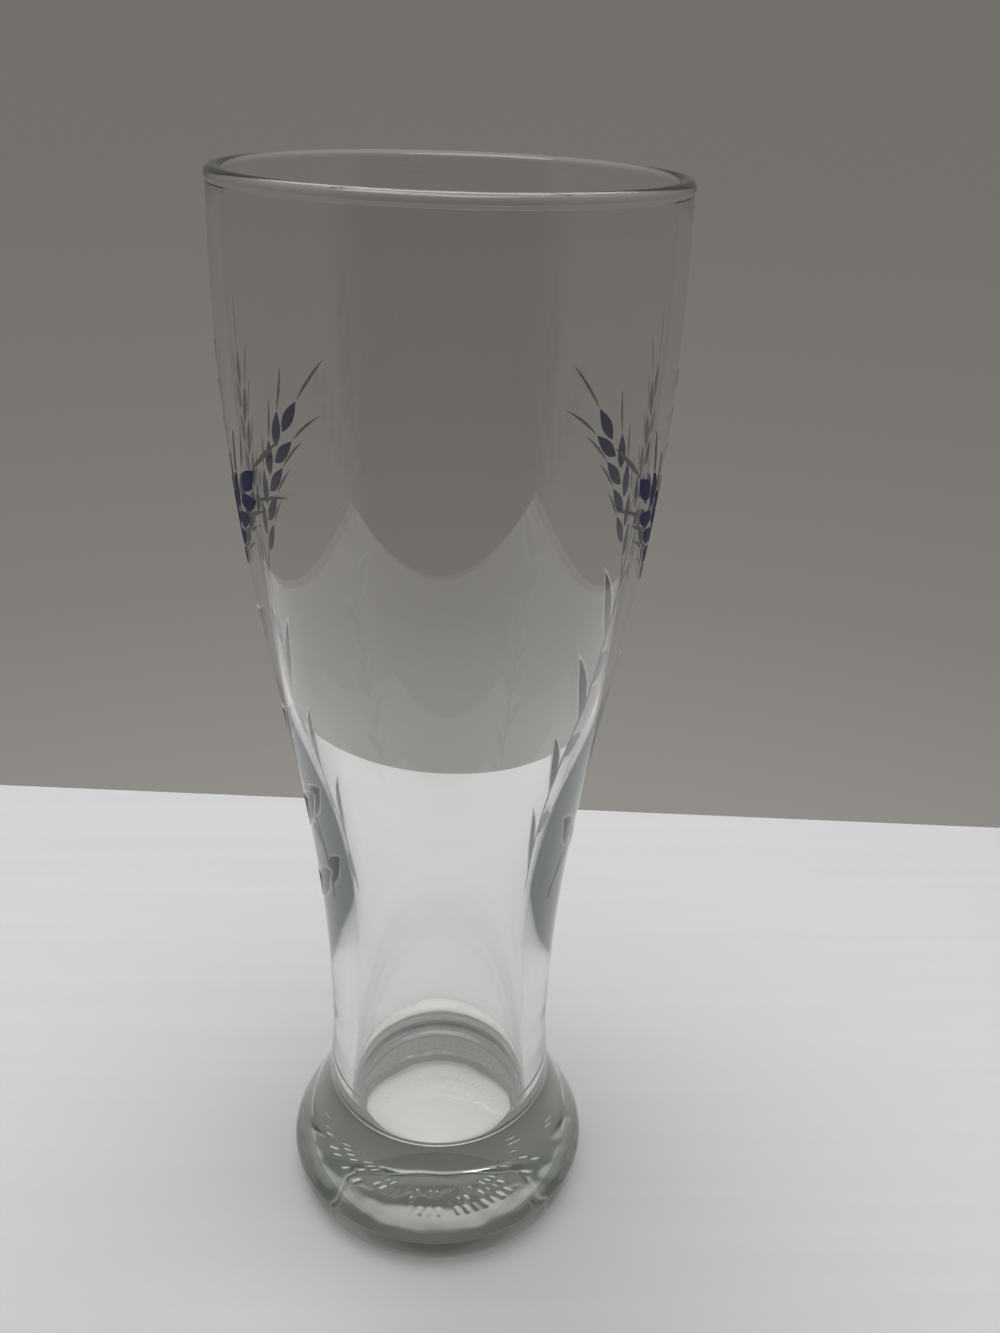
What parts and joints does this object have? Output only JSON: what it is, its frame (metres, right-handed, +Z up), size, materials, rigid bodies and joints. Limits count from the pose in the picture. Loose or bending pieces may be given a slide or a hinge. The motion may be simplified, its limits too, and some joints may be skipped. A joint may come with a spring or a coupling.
{
  "type": "pilsner glass",
  "caption": "Tall flared drinking glass with a slender waist and heavy solid foot, plain rim bead and a fired-on plant print on two sides.",
  "frame": {"origin": "centre of the ring that the glass stands on, in the plane of the table", "axes": "+Z up along the axis of the glass; the two prints face +X and -X; the picture looks along +Y"},
  "size_m": [0.077, 0.0766, 0.216],
  "materials": {
    "clear_glass": "clear fire-polished soda-lime glass, faint grey-green in thick sections",
    "navy_enamel": "satin fired enamel",
    "grey_enamel": "satin fired enamel",
    "slate_enamel": "satin fired enamel",
    "white_enamel": "satin fired enamel"
  },
  "bodies": {
    "root": {"rim_bead": "clear_glass", "bowl": "clear_glass", "waist": "clear_glass", "shoulder": "clear_glass", "foot": "clear_glass", "right_navy_ears": "navy_enamel", "right_grey_awns": "grey_enamel", "right_slate_leaves": "slate_enamel", "right_white_outlines": "white_enamel", "left_navy_ears": "navy_enamel", "left_grey_awns": "grey_enamel", "left_slate_leaves": "slate_enamel", "left_white_outlines": "white_enamel"}
  },
  "joints": []
}
